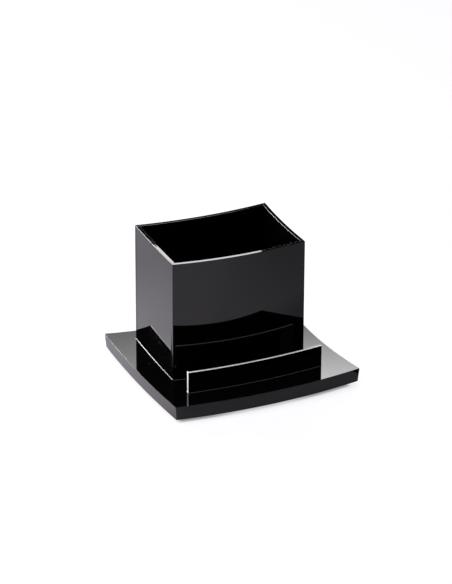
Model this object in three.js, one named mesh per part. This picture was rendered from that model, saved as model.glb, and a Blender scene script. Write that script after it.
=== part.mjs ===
// A desk pen cup of polished black acrylic sheet.
//
// A thick base plate carries an open cup of four bowed walls, and in front of the cup a low
// bowed rail that makes a slot for flat things. Each edge of the plate is an arc: the front
// and left edges bulge out, the back and right edges are drawn in, so that opposite edges
// bow the same way. The front and back walls of the cup run its full width, and the side
// walls stand between them. Four rubber feet lift the plate off the desk.
//
// Millimetres, +X to the right, +Y to the back, +Z up. The origin is on the desk, under the
// middle of the plate's outline. Bows are measured from the chord between two corners.

import * as THREE from "three";

// The cup
const CUP_WIDTH = 97.2;
const CUP_DEPTH = 68.6;
const CUP_HEIGHT = 87;
const CUP_TURN = -2.1; // degrees about its own upright axis
const WALL_THICKNESS = 2.7;
const FRONT_WALL_BOW = 4.5;
const BACK_WALL_BOW = 3.8;
const LEFT_WALL_BOW = 0.45;
const RIGHT_WALL_BOW = 1.1;
const CEMENT_GAP = 0.1; // the film of cement where a side wall meets the front and back walls

// The rail in front of the cup
const RAIL_HEIGHT = 15.5;
const RAIL_THICKNESS = 2.7;
const RAIL_BOW = 3.1;
const RAIL_START = 0.7; // how far its left end stands in from the cup's left corner
const RAIL_OVERRUN = 3.1; // how far it runs past the cup on the right
const RAIL_TURN = -0.6; // degrees about its middle
const SLOT_WIDTH = 17.7; // between the chords of the rail and of the cup's front wall

// The base plate, which takes its width and depth from what stands on it
const PLATE_THICKNESS = 10;
const LEFT_MARGIN = 15.7;
const RIGHT_MARGIN = 25.2;
const FRONT_MARGIN = 14.9;
const BACK_MARGIN = 17.5;
const PLATE_FRONT_BOW = 6;
const PLATE_BACK_BOW = 8.8;
const PLATE_LEFT_BOW = 2.25;
const PLATE_RIGHT_BOW = 5.8;
const PLATE_UNDERCUT = 0.75; // how far each side slopes in on its way down
const EDGE_POLISH = 0.3; // the small flat that polishing leaves along every free edge

// The feet
const FOOT_RADIUS = 5;
const FOOT_HEIGHT = 2;
const FOOT_TAPER = 0.5; // how much smaller the radius is on the desk than at the plate
const FOOT_ROUND = 0.4; // the rounding of the edge that stands on the desk
const FOOT_INSET = 13; // from the plate's corner lines to a foot's middle

// How finely curves are divided
const PLATE_EDGE_STEPS = 28;
const LONG_WALL_STEPS = 28;
const SIDE_WALL_STEPS = 12;
const FOOT_SIDES = 40;
const FOOT_ROUND_STEPS = 4;

// What follows from them
const plateWidth = LEFT_MARGIN + CUP_WIDTH + RIGHT_MARGIN;
const plateDepth = FRONT_MARGIN + RAIL_THICKNESS + SLOT_WIDTH + CUP_DEPTH + BACK_MARGIN;
const plateTop = FOOT_HEIGHT + PLATE_THICKNESS;
const cupX = (LEFT_MARGIN - RIGHT_MARGIN) / 2;
const cupY = plateDepth / 2 - BACK_MARGIN - CUP_DEPTH / 2;
const railLength = CUP_WIDTH - RAIL_START + RAIL_OVERRUN;
const railX = cupX + (RAIL_START + RAIL_OVERRUN) / 2;
const railY = FRONT_MARGIN - plateDepth / 2;

// A shallow arc over a chord. The function that comes back says how far the arc stands off
// the chord at a place measured from the chord's middle. A depth moves the arc in towards
// its centre, on a circle with the same centre.
function arcOver(chord, bow) {
  const radius = (chord ** 2 / 4 + bow ** 2) / (2 * bow);
  return (place, depth = 0) => Math.sqrt((radius - depth) ** 2 - place ** 2) - radius + bow;
}

// Evenly spaced numbers from one value to another, both ends included.
function spread(from, to, steps) {
  return Array.from({ length: steps + 1 }, (_, i) => from + ((to - from) * i) / steps);
}

// A closed solid through flat rings, one above another, each with the same number of points.
function loft(rings) {
  const count = rings[0].outline.length;
  const positions = rings.flatMap(({ z, outline }) => outline.flatMap((p) => [p.x, p.y, z]));
  const index = [];
  for (let level = 1; level < rings.length; level += 1) {
    const below = (level - 1) * count;
    const above = level * count;
    for (let i = 0; i < count; i += 1) {
      const next = (i + 1) % count;
      index.push(below + i, below + next, above + next, below + i, above + next, above + i);
    }
  }
  const topStart = (rings.length - 1) * count;
  for (const [a, b, c] of THREE.ShapeUtils.triangulateShape(rings[0].outline, [])) {
    index.push(a, c, b);
  }
  for (const [a, b, c] of THREE.ShapeUtils.triangulateShape(rings.at(-1).outline, [])) {
    index.push(topStart + a, topStart + b, topStart + c);
  }
  const geometry = new THREE.BufferGeometry();
  geometry.setAttribute("position", new THREE.Float32BufferAttribute(positions, 3));
  geometry.setIndex(index);
  geometry.computeVertexNormals();
  return geometry;
}

// The plate's outline, anticlockwise from its front left corner. The inset draws all four
// edges in together, and every corner loses a small flat to the polish.
function plateOutline(inset) {
  const halfWidth = plateWidth / 2 - inset;
  const halfDepth = plateDepth / 2 - inset;
  const along = (half) => spread(EDGE_POLISH - half, half - EDGE_POLISH, PLATE_EDGE_STEPS);
  const front = arcOver(2 * halfWidth, PLATE_FRONT_BOW);
  const right = arcOver(2 * halfDepth, PLATE_RIGHT_BOW);
  const back = arcOver(2 * halfWidth, PLATE_BACK_BOW);
  const left = arcOver(2 * halfDepth, PLATE_LEFT_BOW);
  return [
    ...along(halfWidth).map((x) => new THREE.Vector2(x, -halfDepth - front(x))),
    ...along(halfDepth).map((y) => new THREE.Vector2(halfWidth - right(y), y)),
    ...along(halfWidth).map((x) => new THREE.Vector2(-x, halfDepth - back(x))),
    ...along(halfDepth).map((y) => new THREE.Vector2(-halfWidth - left(y), -y)),
  ];
}

function plateGeometry() {
  const slope = (z) => PLATE_UNDERCUT * (1 - z / PLATE_THICKNESS);
  const shoulder = PLATE_THICKNESS - EDGE_POLISH;
  return loft([
    { z: 0, outline: plateOutline(slope(0) + EDGE_POLISH) },
    { z: EDGE_POLISH, outline: plateOutline(slope(EDGE_POLISH)) },
    { z: shoulder, outline: plateOutline(slope(shoulder)) },
    { z: PLATE_THICKNESS, outline: plateOutline(EDGE_POLISH) },
  ]);
}

// A sheet that runs along X and bows towards the front. outerDepth and innerDepth place its
// two faces on circles with one centre. Its ends are cut square to the chord.
function longSheetOutline(length, bow, outerDepth, innerDepth, inset) {
  const arc = arcOver(length, bow);
  const end = length / 2 - inset;
  const polished = end - EDGE_POLISH;
  const nearFace = (x) => -arc(x, outerDepth + inset);
  const farFace = (x) => -arc(x, innerDepth - inset);
  return [
    ...spread(-polished, polished, LONG_WALL_STEPS).map((x) => new THREE.Vector2(x, nearFace(x))),
    new THREE.Vector2(end, nearFace(end) + EDGE_POLISH),
    new THREE.Vector2(end, farFace(end) - EDGE_POLISH),
    ...spread(polished, -polished, LONG_WALL_STEPS).map((x) => new THREE.Vector2(x, farFace(x))),
    new THREE.Vector2(-end, farFace(end) - EDGE_POLISH),
    new THREE.Vector2(-end, nearFace(end) + EDGE_POLISH),
  ];
}

// An upright sheet with a sharp foot and polished edges round its top.
function upright(height, outlineAt) {
  return loft([
    { z: 0, outline: outlineAt(0) },
    { z: height - EDGE_POLISH, outline: outlineAt(0) },
    { z: height, outline: outlineAt(EDGE_POLISH) },
  ]);
}

function longSheet(length, height, bow, outerDepth, innerDepth) {
  return upright(height, (inset) => longSheetOutline(length, bow, outerDepth, innerDepth, inset));
}

// The two faces inside the cup that the side walls stand between, in the cup's own frame.
const frontArc = arcOver(CUP_WIDTH, FRONT_WALL_BOW);
const backArc = arcOver(CUP_WIDTH, BACK_WALL_BOW);
const insideFront = (x) => -CUP_DEPTH / 2 - frontArc(x, WALL_THICKNESS);
const insideBack = (x) => CUP_DEPTH / 2 - backArc(x, -WALL_THICKNESS);

// One long face of a side wall, from its front end to its back end. x is where the ends
// stand, and between them the face bows to the left.
function sideFace(x, bow) {
  const start = insideFront(x) + CEMENT_GAP;
  const finish = insideBack(x) - CEMENT_GAP;
  const middle = (start + finish) / 2;
  const arc = arcOver(finish - start, bow);
  const places = spread(start, finish, SIDE_WALL_STEPS);
  return places.map((y) => new THREE.Vector2(x - arc(y - middle), y));
}

// A side wall whose ends follow the walls that they meet. side is -1 on the left and 1 on
// the right.
function sideWall(side, bow) {
  return upright(CUP_HEIGHT, (inset) => {
    const outside = sideFace(side * (CUP_WIDTH / 2 - inset), bow);
    const inside = sideFace(side * (CUP_WIDTH / 2 - WALL_THICKNESS + inset), bow);
    return side < 0 ? [...inside, ...outside.reverse()] : [...outside, ...inside.reverse()];
  });
}

// A foot is turned about its upright axis: a slightly tapered disc with a rounded lower edge.
function footGeometry() {
  const lowerRadius = FOOT_RADIUS - FOOT_TAPER;
  const rounding = spread(-Math.PI / 2, 0, FOOT_ROUND_STEPS).map((angle) => {
    const x = lowerRadius - FOOT_ROUND + FOOT_ROUND * Math.cos(angle);
    return new THREE.Vector2(x, FOOT_ROUND + FOOT_ROUND * Math.sin(angle));
  });
  const profile = [
    new THREE.Vector2(0, 0),
    ...rounding,
    new THREE.Vector2(FOOT_RADIUS, FOOT_HEIGHT),
    new THREE.Vector2(0, FOOT_HEIGHT),
  ];
  return new THREE.LatheGeometry(profile, FOOT_SIDES).rotateX(Math.PI / 2);
}

const acrylic = () => new THREE.MeshStandardMaterial({ color: 0x0a0a0c, roughness: 0.05, metalness: 0 });
const rubber = () => new THREE.MeshStandardMaterial({ color: 0x141414, roughness: 0.85, metalness: 0 });

function piece(name, geometry, material, x = 0, y = 0, z = 0) {
  const mesh = new THREE.Mesh(geometry, material);
  mesh.name = name;
  mesh.position.set(x, y, z);
  return mesh;
}

// The cup, about the middle of its own corners
const cup = new THREE.Group();
cup.position.set(cupX, cupY, plateTop);
cup.rotation.z = THREE.MathUtils.degToRad(CUP_TURN);
const frontWall = longSheet(CUP_WIDTH, CUP_HEIGHT, FRONT_WALL_BOW, 0, WALL_THICKNESS);
const backWall = longSheet(CUP_WIDTH, CUP_HEIGHT, BACK_WALL_BOW, -WALL_THICKNESS, 0);
cup.add(
  piece("front_wall", frontWall, acrylic(), 0, -CUP_DEPTH / 2),
  piece("back_wall", backWall, acrylic(), 0, CUP_DEPTH / 2),
  piece("left_wall", sideWall(-1, LEFT_WALL_BOW), acrylic()),
  piece("right_wall", sideWall(1, RIGHT_WALL_BOW), acrylic()),
);

// The rail, turned about the middle of its chord
const railGeometry = longSheet(railLength, RAIL_HEIGHT, RAIL_BOW, 0, RAIL_THICKNESS);
const rail = piece("front_rail", railGeometry, acrylic(), railX, railY, plateTop);
rail.rotation.z = THREE.MathUtils.degToRad(RAIL_TURN);

// The feet, one near each corner of the plate
const footX = plateWidth / 2 - FOOT_INSET;
const footY = plateDepth / 2 - FOOT_INSET;
const feet = [
  ["foot_front_left", -footX, -footY],
  ["foot_front_right", footX, -footY],
  ["foot_back_left", -footX, footY],
  ["foot_back_right", footX, footY],
].map(([name, x, y]) => piece(name, footGeometry(), rubber(), x, y));

// The whole, moved so that the middle of the plate's outline is over the origin
const penCup = new THREE.Group();
penCup.position.set(PLATE_LEFT_BOW / 2, PLATE_FRONT_BOW / 2, 0);
penCup.add(piece("base_plate", plateGeometry(), acrylic(), 0, 0, FOOT_HEIGHT), cup, rail, ...feet);

export default penCup;
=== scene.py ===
"""A desk pen cup of polished black acrylic, dressed for its studio picture.

Every shape here is a surface worked out with numpy from the same measures as the CAD
model, in metres, with +X to the right, +Y to the back and +Z up. Each one replaces a
plain CAD piece, which it hides, and adds what a maker would see on the real cup: rounded
polish on every free edge, beads of cement along the joints, and truly smooth bows.
"""
import math

import bpy
import numpy as np
from mathutils import Matrix, Vector


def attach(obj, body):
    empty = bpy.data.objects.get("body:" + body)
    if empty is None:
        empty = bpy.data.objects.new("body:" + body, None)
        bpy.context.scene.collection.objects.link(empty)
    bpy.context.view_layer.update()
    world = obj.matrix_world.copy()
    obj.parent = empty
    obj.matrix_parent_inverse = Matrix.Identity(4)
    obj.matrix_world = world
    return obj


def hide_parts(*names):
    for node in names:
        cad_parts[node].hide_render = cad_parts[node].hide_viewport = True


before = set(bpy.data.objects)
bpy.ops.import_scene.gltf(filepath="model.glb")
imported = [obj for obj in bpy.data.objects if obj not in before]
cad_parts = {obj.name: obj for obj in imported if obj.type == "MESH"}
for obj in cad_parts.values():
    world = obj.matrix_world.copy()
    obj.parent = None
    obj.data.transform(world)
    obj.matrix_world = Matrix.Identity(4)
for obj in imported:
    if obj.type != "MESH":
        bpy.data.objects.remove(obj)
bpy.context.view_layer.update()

MM = 0.001

# Camera, as fitted to the photograph
CAMERA_AZIMUTH = math.radians(-25.0898)
CAMERA_ELEVATION = math.radians(26.0472)
CAMERA_ROLL = math.radians(0.2224)
CAMERA_DISTANCE = 2.27177
CAMERA_TARGET = Vector((-0.0027648, 0.0030, 0.0580264))
PICTURE_HEIGHT = 584
FOCAL_PIXELS = 3312.48

# Directions that the lights are set out by: towards the camera, to its right and up, and
# the way that level gloss faces send the camera's look on, up and to the back right.
sin_a, cos_a = math.sin(CAMERA_AZIMUTH), math.cos(CAMERA_AZIMUTH)
sin_e, cos_e = math.sin(CAMERA_ELEVATION), math.cos(CAMERA_ELEVATION)
TO_CAMERA = Vector((sin_a * cos_e, -cos_a * cos_e, sin_e))
PICTURE_RIGHT = Vector((cos_a, sin_a, 0))
PICTURE_UP = TO_CAMERA.cross(PICTURE_RIGHT)
MIRRORED = Vector((-TO_CAMERA.x, -TO_CAMERA.y, TO_CAMERA.z))
CARD_UP = PICTURE_RIGHT.cross(MIRRORED)


def make_camera():
    """The camera that fits the photograph, rolled a little about its own line of sight."""
    camera_data = bpy.data.cameras.new("camera")
    camera_data.sensor_width = 36
    camera_data.lens = FOCAL_PIXELS * 36 / PICTURE_HEIGHT
    camera_data.clip_start = 0.05
    camera_data.clip_end = 200
    camera = bpy.data.objects.new("camera", camera_data)
    bpy.context.collection.objects.link(camera)
    right = math.cos(CAMERA_ROLL) * PICTURE_RIGHT + math.sin(CAMERA_ROLL) * PICTURE_UP
    up = math.cos(CAMERA_ROLL) * PICTURE_UP - math.sin(CAMERA_ROLL) * PICTURE_RIGHT
    turn = Matrix((right, up, TO_CAMERA)).transposed().to_4x4()
    place = CAMERA_TARGET + TO_CAMERA * CAMERA_DISTANCE
    camera.matrix_world = Matrix.Translation(place) @ turn
    bpy.context.scene.camera = camera


make_camera()

# Measures of the cup in millimetres, the same as the CAD model's
CUP_WIDTH = 97.2
CUP_DEPTH = 68.6
CUP_HEIGHT = 87
CUP_TURN = math.radians(-2.1)
WALL_THICKNESS = 2.7
FRONT_WALL_BOW = 4.5
BACK_WALL_BOW = 3.8
LEFT_WALL_BOW = 0.45
RIGHT_WALL_BOW = 1.1

RAIL_HEIGHT = 15.5
RAIL_THICKNESS = 2.7
RAIL_BOW = 3.1
RAIL_LENGTH = 99.6
RAIL_TURN = math.radians(-0.6)

PLATE_WIDTH = 138.1
PLATE_DEPTH = 121.4
PLATE_THICKNESS = 10
PLATE_FRONT_BOW = 6
PLATE_BACK_BOW = 8.8
PLATE_LEFT_BOW = 2.25
PLATE_RIGHT_BOW = 5.8
PLATE_UNDERCUT = 0.75

FOOT_RADIUS = 5
FOOT_HEIGHT = 2
FOOT_TAPER = 0.5
FOOT_INSET = 13

# Where things stand: the middle of the plate, of the cup's corners and of the rail's chord
PLATE_MIDDLE = np.array([PLATE_LEFT_BOW / 2, PLATE_FRONT_BOW / 2])
CUP_MIDDLE = PLATE_MIDDLE + [-4.75, 8.9]
RAIL_MIDDLE = PLATE_MIDDLE + [-2.85, -45.8]
PLATE_TOP = FOOT_HEIGHT + PLATE_THICKNESS

# Finish of edges and joints
SHEET_POLISH = 0.2  # radius that flame polish leaves on a sheet's free edge
PLATE_POLISH = 0.2  # the same on the thick plate's upper edge
PLATE_UNDER_POLISH = 0.14  # and on its lower edge
CEMENT_BEAD = 0.4  # radius of the hollow bead of cement at a foot
CORNER_BEAD = 0.4  # the same up the inner corners of the cup
RAIL_RIM_HIGHLIGHT = 1.0  # painted highlight: how pale the rail's top is painted along its front, 1 as at its ends
END_FRONT_HIGHLIGHT = 0.5  # how strongly a sheet's end is marked at its front corner; on the rail, how pale it is painted there as a highlight
JOINT_LINE = 0.05  # what shows of the cement film where a side wall meets its neighbours


def arc_over(chord, bow):
    """A shallow arc over a chord: with radius R = (chord^2/4 + bow^2) / (2 bow), it stands
    sqrt((R - depth)^2 - place^2) - R + bow off the chord, at a place measured from the
    chord's middle and at a depth in towards the arc's centre."""
    radius = (chord ** 2 / 4 + bow ** 2) / (2 * bow)
    return lambda place, depth=0.0: np.sqrt((radius - depth) ** 2 - place ** 2) - radius + bow


def rounded_side(start, finish, radius, steps, corner_steps, support):
    """Places along one side of a rounded rectangle and how far each lies inside the side's
    line: a quarter circle, a short support, the straight side, a support, a quarter circle.
    On the quarter circle, the place is r - r cos t and the distance is r - r sin t."""
    t = np.linspace(0, math.pi / 2, corner_steps + 1)
    near = start + radius - radius * np.cos(t)
    off = radius - radius * np.sin(t)
    straight = np.linspace(start + radius + support, finish - radius - support, steps + 1)
    far = start + finish - near[::-1]
    return (
        np.concatenate([near, straight, far]),
        np.concatenate([off, np.zeros(steps + 1), off[::-1]]),
    )


def sheet_outline(length, bow, outer_depth, thickness, steps):
    """The outline of a sheet that runs along X and bows to the front, as a function of the
    inset. A rounded rectangle of length by thickness is bent: a point (x, depth) goes to
    (x, -arc(x, depth)), so both faces lie on circles with one centre."""
    arc = arc_over(length, bow)

    def outline(inset):
        radius = max(SHEET_POLISH - inset, 0.02) if inset > 0 else SHEET_POLISH - inset
        x, off = rounded_side(inset - length / 2, length / 2 - inset, radius, steps, 5, 0.12)
        near = np.column_stack([x, -arc(x, outer_depth + inset + off)])
        far = np.column_stack([x, -arc(x, outer_depth + thickness - inset - off)])
        return np.concatenate([near, far[::-1]])

    return outline


def side_wall_outline(side, bow, steps):
    """The outline of a side wall in the cup's own frame. Its long faces are arcs between
    the inner faces of the front and back walls, and its ends follow those faces. On the
    face inside the cup, each end swells by b - sqrt(b^2 - (b - d)^2) within a distance b of
    the neighbouring wall, where d is the distance: the hollow bead of cement."""
    front = arc_over(CUP_WIDTH, FRONT_WALL_BOW)
    back = arc_over(CUP_WIDTH, BACK_WALL_BOW)
    ease = np.linspace(0, math.pi / 2, 6)
    bead_places = CORNER_BEAD * (1 - np.sin(ease[::-1]))
    round_radius = 0.1
    round_places = round_radius * (1 - np.cos(ease))

    def face(x, near_places, swell):
        start = -CUP_DEPTH / 2 - front(x, WALL_THICKNESS) + JOINT_LINE
        finish = CUP_DEPTH / 2 - back(x, -WALL_THICKNESS) - JOINT_LINE
        middle = (start + finish) / 2
        arc = arc_over(finish - start, bow)
        reach = near_places[-1]
        straight = np.linspace(start + reach + 0.12, finish - reach - 0.12, steps + 1)
        y = np.concatenate([start + near_places, straight, finish - near_places[::-1]])
        off = np.concatenate([swell, np.zeros(steps + 1), swell[::-1]])
        return np.column_stack([x - arc(y - middle) - side * off, y])

    def outline(inset):
        bead = CORNER_BEAD - np.sqrt(CORNER_BEAD ** 2 - (CORNER_BEAD - bead_places) ** 2)
        rounding = round_radius * (1 - np.sin(ease))
        outer = face(side * (CUP_WIDTH / 2 - inset), round_places, rounding)
        inner = face(side * (CUP_WIDTH / 2 - WALL_THICKNESS + inset), bead_places, bead)
        return np.concatenate([outer, inner[::-1]] if side > 0 else [inner, outer[::-1]])

    return outline


def plate_outline(inset):
    """The plate's outline. A rounded rectangle is drawn out by the four bows, each fading
    towards the opposite edge: x goes to x - (1 - s) left(y) - s right(y) and y goes to
    y - (1 - t) front(x) - t back(x), where s and t run from 0 to 1 across the plate."""
    half_width = PLATE_WIDTH / 2
    half_depth = PLATE_DEPTH / 2
    radius = max(PLATE_POLISH * 1.2 - inset * 0.3, 0.1)
    x, off_x = rounded_side(inset - half_width, half_width - inset, radius, 90, 5, 0.15)
    y, off_y = rounded_side(inset - half_depth, half_depth - inset, radius, 80, 5, 0.15)
    corner = 6
    y, off_y = y[corner:-corner], off_y[corner:-corner]
    bottom, top = inset - half_depth + off_x, half_depth - inset - off_x
    loop = np.concatenate([
        np.column_stack([x, bottom]),
        np.column_stack([half_width - inset - off_y, y]),
        np.column_stack([x, top])[::-1],
        np.column_stack([inset - half_width + off_y, y])[::-1],
    ])
    s = (loop[:, 0] + half_width) / PLATE_WIDTH
    t = (loop[:, 1] + half_depth) / PLATE_DEPTH
    px = np.clip(loop[:, 0], -half_width, half_width)
    py = np.clip(loop[:, 1], -half_depth, half_depth)
    left = arc_over(PLATE_DEPTH, PLATE_LEFT_BOW)(py)
    right = arc_over(PLATE_DEPTH, PLATE_RIGHT_BOW)(py)
    front = arc_over(PLATE_WIDTH, PLATE_FRONT_BOW)(px)
    back = arc_over(PLATE_WIDTH, PLATE_BACK_BOW)(px)
    return loop - np.column_stack([(1 - s) * left + s * right, (1 - t) * front + t * back])


def upright_profile(height, bead, polish):
    """Insets and heights of a sheet's rings from its foot up: a hollow quarter circle of
    cement with inset -b + b sin t and height b - b cos t, the face, and a quarter circle of
    polish with inset r - r cos t and height h - r + r sin t."""
    t = np.linspace(0, math.pi / 2, 7)
    rounding = np.linspace(0, math.pi / 2, 6)
    inset = [bead * (np.sin(t) - 1), [0, 0], polish * (1 - np.cos(rounding)), [polish + 0.15]]
    level = [
        bead * (1 - np.cos(t)),
        [bead + 0.12, height - polish - 0.12],
        height - polish + polish * np.sin(rounding),
        [height],
    ]
    return np.concatenate(inset), np.concatenate(level)


def plate_profile():
    """Insets and heights of the plate's rings from its underside up: the side slopes in by
    the undercut towards the bottom, and both edges are quarter circles of polish."""
    t = np.linspace(0, math.pi / 2, 7)
    r = PLATE_POLISH
    lower = PLATE_UNDERCUT + PLATE_UNDER_POLISH * (1 - np.sin(t))
    lower_z = PLATE_UNDER_POLISH * (1 - np.cos(t))
    side_z = np.array([r + 0.15, PLATE_THICKNESS / 2, PLATE_THICKNESS - r - 0.15])
    side = PLATE_UNDERCUT * (1 - side_z / PLATE_THICKNESS)
    upper = r * (1 - np.cos(t)) + PLATE_UNDERCUT * r / PLATE_THICKNESS
    upper_z = PLATE_THICKNESS - r + r * np.sin(t)
    inset = np.concatenate([[PLATE_UNDERCUT + r + 0.2], lower, side, upper, [r + 0.25]])
    level = np.concatenate([[0], lower_z, side_z, upper_z, [PLATE_THICKNESS]])
    return inset, level


def foot_profile():
    """Radii and heights of a turned rubber foot from its sole up: a sole dished by a tenth
    of a millimetre, a rounded edge, a side that widens upwards, and a rounded shoulder."""
    t = np.linspace(0, math.pi / 2, 7)
    sole_radius = FOOT_RADIUS - FOOT_TAPER
    edge, shoulder = 0.4, 0.2
    radius = np.concatenate([
        [1.2, 2.4, 3.2, 3.6],
        sole_radius - edge + edge * np.sin(t),
        FOOT_RADIUS - shoulder + shoulder * np.cos(t),
        [3.5, 1.5],
    ])
    level = np.concatenate([
        [0.1, 0.09, 0.05, 0],
        edge - edge * np.cos(t),
        FOOT_HEIGHT - shoulder + shoulder * np.sin(t),
        [FOOT_HEIGHT, FOOT_HEIGHT],
    ])
    return radius, level


def ring_faces(levels, count):
    """Quads between rings: face (i, j) joins points j and j + 1 of ring i to ring i + 1."""
    i, j = np.meshgrid(np.arange(levels - 1), np.arange(count), indexing="ij")
    k = (j + 1) % count
    quads = np.stack([i * count + j, i * count + k, (i + 1) * count + k, (i + 1) * count + j], -1)
    return quads.reshape(-1, 4)


def strip_cap(start, count):
    """Quads across a long outline whose point k faces point count - 1 - k."""
    k = np.arange(count // 2 - 1)
    far = count - 1 - k
    return start + np.stack([k, k + 1, far - 1, far], -1)


def fan_cap(start, count, centre):
    """Triangles from every edge of an outline to its centre point."""
    k = np.arange(count)
    return np.stack([start + k, start + (k + 1) % count, np.full(count, centre)], -1)


def mesh_piece(name, vertices, faces, band, material):
    """A mesh object with its place in its mesh, and the cut_edge attribute, which is 1 on
    sawn and polished edges and 0 on the cast faces. On the rail it also places the painted highlight."""
    mesh = bpy.data.meshes.new(name)
    mesh.from_pydata((vertices * MM).tolist(), [], faces)
    mesh.polygons.foreach_set("use_smooth", np.ones(len(mesh.polygons), bool))
    attribute = mesh.attributes.new("cut_edge", "FLOAT", "POINT")
    attribute.data.foreach_set("value", band.astype(np.float32))
    mesh.materials.append(material)
    mesh.update()
    mesh.validate()
    piece = bpy.data.objects.new(name, mesh)
    bpy.context.collection.objects.link(piece)
    return piece


def turned(points, angle, middle):
    """Points of an outline, turned about the origin and moved to where the piece stands."""
    c, s = math.cos(angle), math.sin(angle)
    return points @ np.array([[c, s], [-s, c]]) + middle


def upright_sheet(name, outline, height, angle, middle, end_places, rim, material):
    """A sheet standing on the plate: one ring of its outline for each step of the profile.
    end_places picks the outline's points that lie on its sawn ends."""
    inset, level = upright_profile(height, CEMENT_BEAD, SHEET_POLISH)
    rings = [turned(outline(i), angle, middle) for i in inset]
    count = len(rings[0])
    flat = np.concatenate(rings)
    z = np.repeat(level + PLATE_TOP, count)
    front_half = np.arange(count) < count // 2
    band = np.outer(level > height - SHEET_POLISH * 0.6, np.where(front_half, *rim)).ravel()
    band = np.maximum(band, np.tile(end_places(count), len(level)))
    last = (len(level) - 1) * count
    faces = ring_faces(len(level), count).tolist()
    faces += strip_cap(0, count)[:, ::-1].tolist() + strip_cap(last, count).tolist()
    return mesh_piece(name, np.column_stack([flat, z]), faces, band, material)


def sheet_ends(count):
    """Marks the points on the two ends of a sheet, between the rounded corners, with half a
    mark at the front corner. On the rail the mark is painted as a pale highlight."""
    marks = np.zeros(count)
    half = count // 2
    marks[[0, half - 1]] = END_FRONT_HIGHLIGHT
    marks[[half, half + 1, count - 2, count - 1]] = 1
    return marks


def no_ends(count):
    """Marks no points, for the side walls, whose ends are hidden in the joints."""
    return np.zeros(count)


def make_plate(material):
    """The plate: its outline at each inset of the profile, lifted to that ring's level and
    joined ring to ring, with a fan from the middle over each end."""
    inset, level = plate_profile()
    rings = [plate_outline(i) + PLATE_MIDDLE for i in inset]
    count = len(rings[0])
    flat = np.concatenate(rings + [PLATE_MIDDLE[None], PLATE_MIDDLE[None]])
    z = np.concatenate([np.repeat(level, count), [0, PLATE_THICKNESS]]) + FOOT_HEIGHT
    last = (len(level) - 1) * count
    total = len(level) * count
    edge = (level > 0.1) & (level < PLATE_THICKNESS - 0.02)
    band = np.concatenate([np.repeat(edge, count), [0, 0]]).astype(float)
    faces = ring_faces(len(level), count).tolist()
    faces += fan_cap(0, count, total)[:, ::-1].tolist()
    faces += fan_cap(last, count, total + 1).tolist()
    return mesh_piece("plate_of_cast_acrylic", np.column_stack([flat, z]), faces, band, material)


def make_foot(name, x, y, material):
    """A foot is its profile turned about an upright axis: (r cos a, r sin a, z)."""
    radius, level = foot_profile()
    count = 64
    angle = np.linspace(0, 2 * math.pi, count, endpoint=False)
    ring_x = radius[:, None] * np.cos(angle) + x + PLATE_MIDDLE[0]
    ring_y = radius[:, None] * np.sin(angle) + y + PLATE_MIDDLE[1]
    z = np.repeat(level, count)
    centre = [x + PLATE_MIDDLE[0], y + PLATE_MIDDLE[1]]
    vertices = np.concatenate([
        np.column_stack([ring_x.ravel(), ring_y.ravel(), z]),
        [[*centre, level[0]], [*centre, FOOT_HEIGHT]],
    ])
    total = len(level) * count
    faces = ring_faces(len(level), count).tolist()
    faces += fan_cap(0, count, total)[:, ::-1].tolist()
    faces += fan_cap(total - count, count, total + 1).tolist()
    return mesh_piece(name, vertices, faces, np.zeros(total + 2), material)


# Shader helpers


def new_group(name, inputs, outputs):
    """An empty node group with named float, colour or vector sockets."""
    group = bpy.data.node_groups.new(name, "ShaderNodeTree")
    for socket, kind, value in inputs:
        made = group.interface.new_socket(socket, in_out="INPUT", socket_type=kind)
        if value is not None:
            made.default_value = value
    for socket, kind in outputs:
        group.interface.new_socket(socket, in_out="OUTPUT", socket_type=kind)
    return group, group.nodes.new("NodeGroupInput"), group.nodes.new("NodeGroupOutput")


def place(tree, kind, links=None, **settings):
    """A node with its settings, and its input sockets fed by sockets or plain values."""
    node = tree.nodes.new(kind)
    for key, value in settings.items():
        setattr(node, key, value)
    for socket, value in (links or {}).items():
        if isinstance(value, bpy.types.NodeSocket):
            tree.links.new(value, node.inputs[socket])
        else:
            node.inputs[socket].default_value = value
    return node


def maths(tree, operation, a, b=None, c=None, clamp=False):
    """The result of a maths node, of sockets or plain values."""
    links = {k: v for k, v in enumerate((a, b, c)) if v is not None}
    node = place(tree, "ShaderNodeMath", links, operation=operation, use_clamp=clamp)
    return node.outputs[0]


def ranged(tree, value, low, high, to_low=0.0, to_high=1.0, smooth=True):
    """A value carried from one range to another, eased at both ends or straight."""
    kind = "SMOOTHSTEP" if smooth else "LINEAR"
    links = {"Value": value, "From Min": low, "From Max": high, "To Min": to_low, "To Max": to_high}
    return place(tree, "ShaderNodeMapRange", links, interpolation_type=kind).outputs["Result"]


def sheet_waviness_group():
    """The slow roll of a cast sheet's face: two sizes of soft noise, added as a height."""
    group, given, out = new_group(
        "sheet_waviness",
        [("Vector", "NodeSocketVector", None), ("Size", "NodeSocketFloat", 28.0)],
        [("Height", "NodeSocketFloat")],
    )
    slow = place(group, "ShaderNodeTexNoise", {
        "Vector": given.outputs["Vector"], "Scale": given.outputs["Size"], "Detail": 0.0,
    })
    finer_scale = maths(group, "MULTIPLY", given.outputs["Size"], 3.3)
    finer = place(group, "ShaderNodeTexNoise", {
        "Vector": given.outputs["Vector"], "Scale": finer_scale, "Detail": 0.0,
    })
    height = maths(group, "MULTIPLY_ADD", finer.outputs["Fac"], 0.16, slow.outputs["Fac"])
    group.links.new(height, out.inputs["Height"])
    return group


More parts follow.
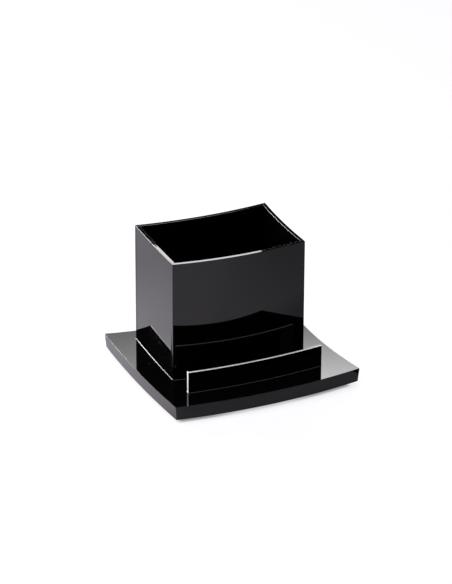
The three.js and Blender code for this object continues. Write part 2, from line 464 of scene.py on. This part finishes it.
def hairline_group():
    """Hairline marks from wiping: thin crests of two stretched noises that cross, where a
    broad noise allows them. The mask is 1 on a hairline."""
    group, given, out = new_group(
        "wiping_hairlines",
        [("Vector", "NodeSocketVector", None), ("Amount", "NodeSocketFloat", 0.5)],
        [("Mask", "NodeSocketFloat")],
    )
    masks = []
    for turn, stretch in ((0.5, (60, 1500, 60)), (-0.9, (1700, 70, 90)), (1.9, (80, 60, 1900))):
        mapping = place(group, "ShaderNodeMapping", {
            "Vector": given.outputs["Vector"], "Rotation": (turn * 0.6, turn * 0.4, turn),
            "Scale": stretch,
        })
        noise = place(group, "ShaderNodeTexNoise", {
            "Vector": mapping.outputs[0], "Scale": 1.0, "Detail": 1.0, "Distortion": 0.3,
        })
        masks.append(ranged(group, noise.outputs["Fac"], 0.67, 0.74))
    crossed = maths(group, "MAXIMUM", maths(group, "MAXIMUM", masks[0], masks[1]), masks[2])
    patches = place(group, "ShaderNodeTexNoise", {
        "Vector": given.outputs["Vector"], "Scale": 45.0, "Detail": 1.0,
    })
    allowed = ranged(group, patches.outputs["Fac"], 0.45, 0.65)
    kept = maths(group, "MULTIPLY", crossed, allowed)
    group.links.new(maths(group, "MULTIPLY", kept, given.outputs["Amount"]), out.inputs["Mask"])
    return group


def handling_haze_group():
    """The faint haze that handling leaves: soft patches broken up by finer grain."""
    group, given, out = new_group(
        "handling_haze",
        [("Vector", "NodeSocketVector", None)],
        [("Mask", "NodeSocketFloat")],
    )
    broad = place(group, "ShaderNodeTexNoise", {
        "Vector": given.outputs["Vector"], "Scale": 38.0, "Detail": 3.0, "Roughness": 0.6,
    })
    fine = place(group, "ShaderNodeTexNoise", {
        "Vector": given.outputs["Vector"], "Scale": 420.0, "Detail": 2.0,
    })
    patch = ranged(group, broad.outputs["Fac"], 0.42, 0.72)
    grain = ranged(group, fine.outputs["Fac"], 0.3, 0.7, 0.55, 1.0)
    group.links.new(maths(group, "MULTIPLY", patch, grain), out.inputs["Mask"])
    return group


def settled_dust_group():
    """Specks of dust on faces that look up: small round cells, few of them, each with its
    own chance. The mask is 1 in a speck."""
    group, given, out = new_group(
        "settled_dust",
        [("Vector", "NodeSocketVector", None), ("Share", "NodeSocketFloat", 0.05)],
        [("Mask", "NodeSocketFloat")],
    )
    cells = place(group, "ShaderNodeTexVoronoi", {
        "Vector": given.outputs["Vector"], "Scale": 620.0, "Randomness": 1.0,
    })
    chance = place(group, "ShaderNodeSeparateColor", {"Color": cells.outputs["Color"]})
    chosen = maths(group, "LESS_THAN", chance.outputs["Red"], given.outputs["Share"])
    speck = ranged(group, cells.outputs["Distance"], 0.05, 0.13, 1.0, 0.0)
    normal = place(group, "ShaderNodeNewGeometry")
    up = place(group, "ShaderNodeSeparateXYZ", {"Vector": normal.outputs["Normal"]})
    level = ranged(group, up.outputs["Z"], 0.5, 0.95)
    mask = maths(group, "MULTIPLY", maths(group, "MULTIPLY", speck, chosen), level)
    group.links.new(mask, out.inputs["Mask"])
    return group


def edge_finish_group():
    """The finish of a sawn and polished edge: fine draw lines that run level along the
    edge, as a height, and a soft uneven mask for a slightly duller polish."""
    group, given, out = new_group(
        "polished_saw_edge",
        [("Vector", "NodeSocketVector", None), ("Edge", "NodeSocketFloat", 0.0)],
        [("Height", "NodeSocketFloat"), ("Mask", "NodeSocketFloat")],
    )
    mapping = place(group, "ShaderNodeMapping", {
        "Vector": given.outputs["Vector"], "Scale": (55, 55, 2600),
    })
    lines = place(group, "ShaderNodeTexNoise", {
        "Vector": mapping.outputs[0], "Scale": 1.0, "Detail": 2.0,
    })
    uneven = place(group, "ShaderNodeTexNoise", {
        "Vector": given.outputs["Vector"], "Scale": 160.0, "Detail": 2.0,
    })
    group.links.new(
        maths(group, "MULTIPLY", lines.outputs["Fac"], given.outputs["Edge"]), out.inputs["Height"])
    dull = ranged(group, uneven.outputs["Fac"], 0.3, 0.75)
    group.links.new(maths(group, "MULTIPLY", dull, given.outputs["Edge"]), out.inputs["Mask"])
    return group


WAVINESS = sheet_waviness_group()
HAIRLINES = hairline_group()
HAZE = handling_haze_group()
DUST = settled_dust_group()
EDGE_FINISH = edge_finish_group()

ACRYLIC_BLACK = (0.0016, 0.0014, 0.0019, 1)
ACRYLIC_DEEP = (0.0009, 0.0008, 0.0011, 1)
DUST_GREY = (0.16, 0.155, 0.15, 1)


def group_node(tree, group, links):
    """One of the node groups above, with its input sockets fed."""
    return place(tree, "ShaderNodeGroup", links, node_tree=group)


def acrylic(name, wave_size, wave_depth, polish, hairlines, dust_share, sanding_and_highlight=0.0):
    """Polished black acrylic. Colour: deep black, a shade lighter in slow clouds, with
    specks of dust, and when asked, marked edges painted near white: a painted highlight.
    Roughness: the polish plus hairlines, haze, dust and duller edges, and rougher marked edges
    when asked. Height: the roll of the cast face and the draw lines of the edges."""
    material = bpy.data.materials.new(name)
    material.use_nodes = True
    tree = material.node_tree
    shader = tree.nodes["Principled BSDF"]
    shader.inputs["IOR"].default_value = 1.49
    where = place(tree, "ShaderNodeTexCoord").outputs["Object"]
    edge = place(tree, "ShaderNodeAttribute", attribute_name="cut_edge").outputs["Fac"]
    wave = group_node(tree, WAVINESS, {"Vector": where, "Size": wave_size})
    marks = group_node(tree, HAIRLINES, {"Vector": where, "Amount": hairlines})
    haze = group_node(tree, HAZE, {"Vector": where})
    dust = group_node(tree, DUST, {"Vector": where, "Share": dust_share})
    finish = group_node(tree, EDGE_FINISH, {"Vector": where, "Edge": edge})

    clouds = place(tree, "ShaderNodeTexNoise", {"Vector": where, "Scale": 22.0, "Detail": 2.0})
    body = place(tree, "ShaderNodeMix", {
        0: clouds.outputs["Fac"], 6: ACRYLIC_DEEP, 7: ACRYLIC_BLACK,
    }, data_type="RGBA")
    # Painted highlight: the marked edges are painted near white, with a faint grain
    if sanding_and_highlight:
        highlight_grit = place(tree, "ShaderNodeTexNoise", {"Vector": where, "Scale": 2600.0, "Detail": 2.0})
        pale = place(tree, "ShaderNodeMix", {
            0: highlight_grit.outputs["Fac"], 6: (0.92, 0.92, 0.92, 1), 7: (1.0, 1.0, 1.0, 1),
        }, data_type="RGBA")
        painted_highlight_share = ranged(tree, edge, 0.3, 0.85, 0.0, sanding_and_highlight)
        body = place(tree, "ShaderNodeMix", {
            0: painted_highlight_share, 6: body.outputs[2], 7: pale.outputs[2],
        }, data_type="RGBA")
    dusted = place(tree, "ShaderNodeMix", {
        0: dust.outputs["Mask"], 6: body.outputs[2], 7: DUST_GREY,
    }, data_type="RGBA")
    tree.links.new(dusted.outputs[2], shader.inputs["Base Color"])

    rough = maths(tree, "MULTIPLY_ADD", haze.outputs["Mask"], 0.02, polish)
    rough = maths(tree, "MULTIPLY_ADD", edge, 0.55 * sanding_and_highlight, rough)
    rough = maths(tree, "MULTIPLY_ADD", marks.outputs["Mask"], 0.1, rough)
    rough = maths(tree, "MULTIPLY_ADD", finish.outputs["Mask"], 0.025, rough)
    rough = maths(tree, "MULTIPLY_ADD", dust.outputs["Mask"], 0.5, rough, clamp=True)
    tree.links.new(rough, shader.inputs["Roughness"])

    roll = place(tree, "ShaderNodeBump", {
        "Strength": 1.0, "Distance": wave_depth * MM, "Height": wave.outputs["Height"],
    })
    lines = place(tree, "ShaderNodeBump", {
        "Strength": 1.0, "Distance": 0.0006 * MM, "Height": finish.outputs["Height"],
        "Normal": roll.outputs["Normal"],
    })
    tree.links.new(lines.outputs["Normal"], shader.inputs["Normal"])
    return material


def foot_rubber():
    """Moulded black rubber: a fine cast grain, paler bloom in patches and settled dust."""
    material = bpy.data.materials.new("moulded_rubber")
    material.use_nodes = True
    tree = material.node_tree
    shader = tree.nodes["Principled BSDF"]
    shader.inputs["IOR"].default_value = 1.5
    where = place(tree, "ShaderNodeTexCoord").outputs["Object"]
    haze = group_node(tree, HAZE, {"Vector": where})
    dust = group_node(tree, DUST, {"Vector": where, "Share": 0.12})
    grain = place(tree, "ShaderNodeTexNoise", {"Vector": where, "Scale": 5200.0, "Detail": 3.0})
    body = place(tree, "ShaderNodeMix", {
        0: haze.outputs["Mask"], 6: (0.012, 0.012, 0.012, 1), 7: (0.03, 0.029, 0.028, 1),
    }, data_type="RGBA")
    dusted = place(tree, "ShaderNodeMix", {
        0: dust.outputs["Mask"], 6: body.outputs[2], 7: DUST_GREY,
    }, data_type="RGBA")
    tree.links.new(dusted.outputs[2], shader.inputs["Base Color"])
    rough = ranged(tree, grain.outputs["Fac"], 0.3, 0.7, 0.62, 0.85, smooth=False)
    tree.links.new(rough, shader.inputs["Roughness"])
    bump = place(tree, "ShaderNodeBump", {
        "Strength": 0.6, "Distance": 0.04 * MM, "Height": grain.outputs["Fac"],
    })
    tree.links.new(bump.outputs["Normal"], shader.inputs["Normal"])
    return material


# The cup and its materials
plate_acrylic = acrylic("plate_acrylic", 20.0, 0.008, 0.018, 0.6, 0.035)
wall_acrylic = acrylic("wall_acrylic", 30.0, 0.008, 0.018, 0.5, 0.03)
# The rail's ends and the front of its top are painted near white, a painted highlight, and are rougher
rail_acrylic = acrylic("rail_acrylic", 36.0, 0.005, 0.018, 0.5, 0.03, sanding_and_highlight=1.0)
rubber = foot_rubber()


def dress(piece, node):
    """Rides on the body, and stands for the plain CAD piece."""
    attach(piece, "root")
    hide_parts(node)


def make_cup():
    """Makes the ten pieces. The walls stand half the cup's depth along its own Y from its
    middle, and the feet stand inside the plate's corners."""
    dress(make_plate(plate_acrylic), "base_plate")
    along = np.array([math.sin(CUP_TURN), -math.cos(CUP_TURN)]) * CUP_DEPTH / 2
    front = sheet_outline(CUP_WIDTH, FRONT_WALL_BOW, 0, WALL_THICKNESS, 96)
    back = sheet_outline(CUP_WIDTH, BACK_WALL_BOW, -WALL_THICKNESS, WALL_THICKNESS, 96)
    left = side_wall_outline(-1, LEFT_WALL_BOW, 48)
    right = side_wall_outline(1, RIGHT_WALL_BOW, 48)
    rail = sheet_outline(RAIL_LENGTH, RAIL_BOW, 0, RAIL_THICKNESS, 96)
    sheets = [
        ("front_sheet", "front_wall", front, CUP_HEIGHT, CUP_TURN, CUP_MIDDLE + along, sheet_ends),
        ("back_sheet", "back_wall", back, CUP_HEIGHT, CUP_TURN, CUP_MIDDLE - along, sheet_ends),
        ("left_sheet", "left_wall", left, CUP_HEIGHT, CUP_TURN, CUP_MIDDLE, no_ends),
        ("right_sheet", "right_wall", right, CUP_HEIGHT, CUP_TURN, CUP_MIDDLE, no_ends),
        ("rail_sheet", "front_rail", rail, RAIL_HEIGHT, RAIL_TURN, RAIL_MIDDLE, sheet_ends),
    ]
    for name, node, outline, height, turn, middle, ends in sheets:
        material = rail_acrylic if node == "front_rail" else wall_acrylic
        # Marks on the top edge: on the rail a painted highlight along the front only, on the walls the
        # polished edge all round
        rim = (RAIL_RIM_HIGHLIGHT, 0.0) if node == "front_rail" else (1.0, 1.0)
        piece = upright_sheet(name, outline, height, turn, middle, ends, rim, material)
        dress(piece, node)
    foot_x = PLATE_WIDTH / 2 - FOOT_INSET
    foot_y = PLATE_DEPTH / 2 - FOOT_INSET
    for depth, y in (("front", -foot_y), ("back", foot_y)):
        for side, x in (("left", -foot_x), ("right", foot_x)):
            piece = make_foot(f"rubber_{depth}_{side}", x, y, rubber)
            dress(piece, f"foot_{depth}_{side}")


make_cup()


# The studio
STUDIO_WHITE = (1, 0.99, 1)
LOW_CARD_LEFT = 1.37  # the low card's strength at its middle height, at its left
LOW_CARD_RIGHT = 2.35  # and towards its right

# The floor. To the camera it is lit by this share and glows by this much, and in gloss it
# glows by the last. Its glow is dimmed where something stands close over it, a painted
# shade, which is felt along the direction that most of the light comes from.
FLOOR_LIT_CAMERA = 0.3
FLOOR_GLOW_CAMERA = 0.8
FLOOR_GLOW_GLOSS = 0.15
FLOOR_LIGHT_SIDE = Vector((-0.93, 0.15, 0.33)).normalized()

# Painted light on the floor between the feet, under the plate's front edge: the share of the
# painted shade that it clears, the X of its middle, and how far from there it starts to fade
# and is gone
PAINTED_GAP_LIGHT = 0.55
PAINTED_GAP_LIGHT_MIDDLE = -0.004
PAINTED_GAP_LIGHT_FADE = (0.014, 0.044)

# Painted light and shade on the paper in gloss: how brightly it is painted, as pairs of depth
# in metres and share, and between which depths they are spread
PAPER_DEPTHS = (-0.13, 0.2)
PAPER_LIT = [
    (-0.125, 0.82), (-0.095, 0.52), (-0.07, 0.54), (-0.05, 0.8), (-0.035, 1.0), (0.045, 1.0),
    (0.075, 0.78), (0.118, 0.67), (0.16, 0.52), (0.19, 0.43),
]

# The flag, in millimetres: its ends and its turn in X, the depth of its near edge beyond the
# turn, its distance from the plate, and points of its far edge
FLAG_START, FLAG_FINISH, FLAG_STEPS = -64, 106, 85
FLAG_TURN, FLAG_TURN_DEPTH = 72, -56
FLAG_NEAR = 9.5
FLAG_NEAR_HEIGHT = 6
FLAG_FAR_HEIGHT = 0.5
FLAG_FAR_X = [-64, 62, 75, 89, 99, 106]
FLAG_FAR_Y = [-127, -124, -112, -97, -84, -74]


def flat_card(name, width, height, matrix, material):
    """A flat rectangle about its own middle, with its face along its own +Z."""
    w, h = width / 2, height / 2
    mesh = bpy.data.meshes.new(name)
    mesh.from_pydata([(-w, -h, 0), (w, -h, 0), (w, h, 0), (-w, h, 0)], [], [(0, 1, 2, 3)])
    mesh.materials.append(material)
    card = bpy.data.objects.new(name, mesh)
    card.matrix_world = matrix
    bpy.context.collection.objects.link(card)
    return card


def mirrored_card(name, distance, left, right, low, high, material):
    """A card square to the way that level faces send the camera's look on. Its edges are
    given in metres to the right and up, as the camera would see it in those faces."""
    centre = MIRRORED * distance
    centre += PICTURE_RIGHT * (left + right) / 2 + CARD_UP * (low + high) / 2
    turn = Matrix((PICTURE_RIGHT, CARD_UP, -MIRRORED)).transposed().to_4x4()
    card = flat_card(name, right - left, high - low, Matrix.Translation(centre) @ turn, material)
    card.visible_camera = False
    card.visible_diffuse = False
    card.visible_shadow = False
    card.visible_transmission = False
    return card


def glow_material(name, strength_of):
    """A card that shines on its front side only. strength_of makes the strength from the
    card's own place to the right and up, in metres."""
    material = bpy.data.materials.new(name)
    material.use_nodes = True
    tree = material.node_tree
    tree.nodes.remove(tree.nodes["Principled BSDF"])
    where = place(tree, "ShaderNodeTexCoord").outputs["Object"]
    axes = place(tree, "ShaderNodeSeparateXYZ", {"Vector": where})
    strength = strength_of(tree, axes.outputs["X"], axes.outputs["Y"])
    glow = place(tree, "ShaderNodeEmission", {"Strength": strength, "Color": (1, 0.985, 1, 1)})
    clear = place(tree, "ShaderNodeBsdfTransparent")
    behind = place(tree, "ShaderNodeNewGeometry").outputs["Backfacing"]
    mix = place(tree, "ShaderNodeMixShader", {0: behind, 1: glow.outputs[0], 2: clear.outputs[0]})
    tree.links.new(mix.outputs[0], tree.nodes["Material Output"].inputs["Surface"])
    return material


def low_card_strength(tree, x, y):
    """Brighter to the right and upwards, fading out along the card's top edge."""
    left = maths(tree, "MULTIPLY_ADD", y, 36.0, LOW_CARD_LEFT)
    right = maths(tree, "MULTIPLY_ADD", y, 86.0, LOW_CARD_RIGHT)
    across = ranged(tree, x, -0.151, -0.001, smooth=False)
    level = maths(tree, "MULTIPLY_ADD", maths(tree, "SUBTRACT", right, left), across, left)
    level = maths(tree, "MINIMUM", maths(tree, "MAXIMUM", level, 0.5), 5.2)
    fade = ranged(tree, y, 0.036, 0.062, 1.0, 0.0)
    return maths(tree, "MULTIPLY", level, fade)


def box_strength(tree, x, y):
    """A soft box: brightest in its middle, and a little less towards its edges."""
    far = place(tree, "ShaderNodeVectorMath", {
        0: place(tree, "ShaderNodeCombineXYZ", {"X": x, "Y": y}).outputs[0],
    }, operation="LENGTH").outputs["Value"]
    return ranged(tree, far, 0.0, 0.35, 6.6, 5.2)


def soft_lamp(name, middle, aim, width, height, radiance, colour):
    """A rectangular soft box that faces its aim. Its power is its radiance x pi x area."""
    lamp_data = bpy.data.lights.new(name, "AREA")
    lamp_data.shape = "RECTANGLE"
    lamp_data.size = width
    lamp_data.size_y = height
    lamp_data.energy = radiance * math.pi * width * height
    lamp_data.color = colour
    lamp = bpy.data.objects.new(name, lamp_data)
    lamp.location = middle
    lamp.rotation_euler = (Vector(aim) - Vector(middle)).to_track_quat("-Z", "Y").to_euler()
    lamp.visible_camera = False
    bpy.context.collection.objects.link(lamp)
    return lamp


def floor_material():
    """Pale paper with a faint tooth. To the camera and to gloss it also glows a little, so it
    is white and keeps its shadows. The glow is less where something stands close over it, a
    painted shade, which painted light clears in part between the feet and wholly beside the
    plate's ends. In gloss the paper is painted lighter and darker by depth and to the right."""
    material = bpy.data.materials.new("pale_paper")
    material.use_nodes = True
    tree = material.node_tree
    shader = tree.nodes["Principled BSDF"]
    shader.inputs["Roughness"].default_value = 0.6
    shader.inputs["Specular IOR Level"].default_value = 0.3
    where = place(tree, "ShaderNodeTexCoord").outputs["Object"]
    tooth = place(tree, "ShaderNodeTexNoise", {"Vector": where, "Scale": 900.0, "Detail": 2.0})
    paper = place(tree, "ShaderNodeMix", {
        0: tooth.outputs["Fac"], 6: (0.85, 0.80, 0.92, 1), 7: (0.87, 0.82, 0.94, 1),
    }, data_type="RGBA")
    path = place(tree, "ShaderNodeLightPath")
    glossy = maths(tree, "MAXIMUM", path.outputs["Is Glossy Ray"], path.outputs["Is Transmission Ray"])
    axes = place(tree, "ShaderNodeSeparateXYZ", {"Vector": where})
    depth = axes.outputs["Y"]
    # Painted light and shade in gloss: the paper is painted by depth after PAPER_LIT
    lit = place(tree, "ShaderNodeValToRGB", {0: ranged(tree, depth, *PAPER_DEPTHS, smooth=False)})
    ramp = lit.color_ramp.elements
    ramp.remove(ramp[1])
    for y, level in PAPER_LIT:
        stop = ramp.new((y - PAPER_DEPTHS[0]) / (PAPER_DEPTHS[1] - PAPER_DEPTHS[0]))
        stop.color = (level, level, level, 1)
    ramp.remove(ramp[0])
    # and painted darker towards the right, down to 0.6
    across = ranged(tree, axes.outputs["X"], 0.03, 0.16, 1.0, 0.6, smooth=False)
    level = maths(tree, "MULTIPLY", lit.outputs["Color"], across)
    in_gloss = place(tree, "ShaderNodeMix", {0: glossy, 2: 1.0, 3: level}).outputs[0]
    dimmed = ranged(tree, path.outputs["Is Camera Ray"], 0, 1, 1.0, FLOOR_LIT_CAMERA, smooth=False)
    dimmed = maths(tree, "MULTIPLY", dimmed, in_gloss)
    shown = place(tree, "ShaderNodeVectorMath", {0: paper.outputs[2], 3: dimmed}, operation="SCALE")
    tree.links.new(shown.outputs[0], shader.inputs["Base Color"])
    # Painted shade: the glow is dimmed where ambient occlusion finds something within 4 mm
    painted_shade_ao = place(tree, "ShaderNodeAmbientOcclusion", {
        "Distance": 0.004, "Normal": FLOOR_LIGHT_SIDE,
    }, samples=12)
    seen = maths(tree, "MULTIPLY", path.outputs["Is Camera Ray"], FLOOR_GLOW_CAMERA)
    gloss_glow = maths(tree, "MULTIPLY", in_gloss, FLOOR_GLOW_GLOSS)
    seen = maths(tree, "MULTIPLY_ADD", glossy, gloss_glow, seen)
    openness = ranged(tree, painted_shade_ao.outputs["AO"], 0.0, 0.75, smooth=False)
    # Painted light between the feet clears part of that painted shade
    shut = maths(tree, "MULTIPLY_ADD", openness, -1.0, 1.0)
    off_middle = maths(tree, "ABSOLUTE", maths(tree, "SUBTRACT", axes.outputs["X"], PAINTED_GAP_LIGHT_MIDDLE))
    painted_light_between_feet = ranged(tree, off_middle, *PAINTED_GAP_LIGHT_FADE, PAINTED_GAP_LIGHT, 0.0)
    openness = maths(tree, "MULTIPLY_ADD", shut, painted_light_between_feet, openness)
    # Painted light beside the plate's left and right ends clears all of it
    painted_light_left = ranged(tree, axes.outputs["X"], -0.067, -0.060, 1.0, 0.0)
    painted_light_right = ranged(tree, axes.outputs["X"], 0.058, 0.065)
    openness = maths(tree, "MAXIMUM", openness, maths(tree, "MAXIMUM", painted_light_left, painted_light_right))
    strength = maths(tree, "MULTIPLY", seen, openness)
    tree.links.new(strength, shader.inputs["Emission Strength"])
    shader.inputs["Emission Color"].default_value = (1, 1, 1, 1)
    return material


def bearing(azimuth, elevation, distance):
    """A point at a distance from the origin, by its bearing from +X and its height angle."""
    azimuth, elevation = math.radians(azimuth), math.radians(elevation)
    level = math.cos(elevation)
    direction = (math.cos(azimuth) * level, math.sin(azimuth) * level, math.sin(elevation))
    return Vector(direction) * distance


def make_flag():
    """A black sheet in front, seen only in gloss and casting no shadow: a painted shade in the
    reflections, which keeps the rail's face black. Its near edge keeps a little above the floor
    and follows the plate's front edge, y = -(depth / 2 + front(x)) - distance, and its far edge
    lies on the floor."""
    count = FLAG_STEPS + 1
    x = np.linspace(FLAG_START, FLAG_FINISH, count)
    on_plate = np.clip(x, -PLATE_WIDTH / 2, PLATE_WIDTH / 2)
    edge = PLATE_MIDDLE[1] - PLATE_DEPTH / 2 - arc_over(PLATE_WIDTH, PLATE_FRONT_BOW)(on_plate)
    near_y = np.where(x < FLAG_TURN, edge - FLAG_NEAR, FLAG_TURN_DEPTH)
    far_y = np.interp(x, FLAG_FAR_X, FLAG_FAR_Y)
    near = np.column_stack([x, near_y, np.full(count, FLAG_NEAR_HEIGHT)])
    far = np.column_stack([x, far_y, np.full(count, FLAG_FAR_HEIGHT)])
    mesh = bpy.data.meshes.new("flag")
    k = np.arange(FLAG_STEPS)
    faces = np.stack([count + k, count + k + 1, k + 1, k], -1).tolist()
    mesh.from_pydata((np.concatenate([near, far]) * MM).tolist(), [], faces)
    # Painted shade: a black, matt sheet that only gloss sees
    reflection_shade = bpy.data.materials.new("painted_reflection_shade")
    reflection_shade.use_nodes = True
    shader = reflection_shade.node_tree.nodes["Principled BSDF"]
    shader.inputs["Base Color"].default_value = (0.001, 0.001, 0.001, 1)
    shader.inputs["Roughness"].default_value = 1.0
    shader.inputs["Specular IOR Level"].default_value = 0.0
    mesh.materials.append(reflection_shade)
    flag = bpy.data.objects.new("flag", mesh)
    bpy.context.collection.objects.link(flag)
    flag.visible_camera = False
    flag.visible_diffuse = False
    flag.visible_shadow = False
    flag.visible_transmission = False


def make_studio():
    """A pale floor, two cards for the level faces to mirror, four soft lamps and a flag."""
    flat_card("floor", 60, 60, Matrix.Identity(4), floor_material())
    low_material = glow_material("low_card_glow", low_card_strength)
    mirrored_card("low_card", 0.2, -0.098, 0.24, -0.065, 0.065, low_material)
    box_material = glow_material("back_box_glow", box_strength)
    mirrored_card("back_box", 0.6, -0.32, 0.026, 0.0865, 0.36, box_material)

    soft_lamp("key_box", bearing(117, 18.6, 1.22), (0, 0, 0), 0.25, 0.28, 43, STUDIO_WHITE)
    soft_lamp("side_box", bearing(165, 38, 1.5), (0, 0, 0), 0.7, 0.9, 2.6, STUDIO_WHITE)
    soft_lamp("top_box", (0.1, 0.05, 1.5), (0, 0, 0), 1.4, 1.4, 2.3, STUDIO_WHITE)
    fill = soft_lamp("left_fill", bearing(180, 20, 1.4), (0, 0, 0), 0.5, 0.5, 9.2, STUDIO_WHITE)
    fill.visible_glossy = False
    make_flag()

    world = bpy.data.worlds.new("studio")
    world.use_nodes = True
    background = world.node_tree.nodes["Background"]
    background.inputs["Color"].default_value = (1, 0.98, 1, 1)
    background.inputs["Strength"].default_value = 0.03
    bpy.context.scene.world = world
    bpy.context.scene.view_settings.view_transform = "Standard"


make_studio()
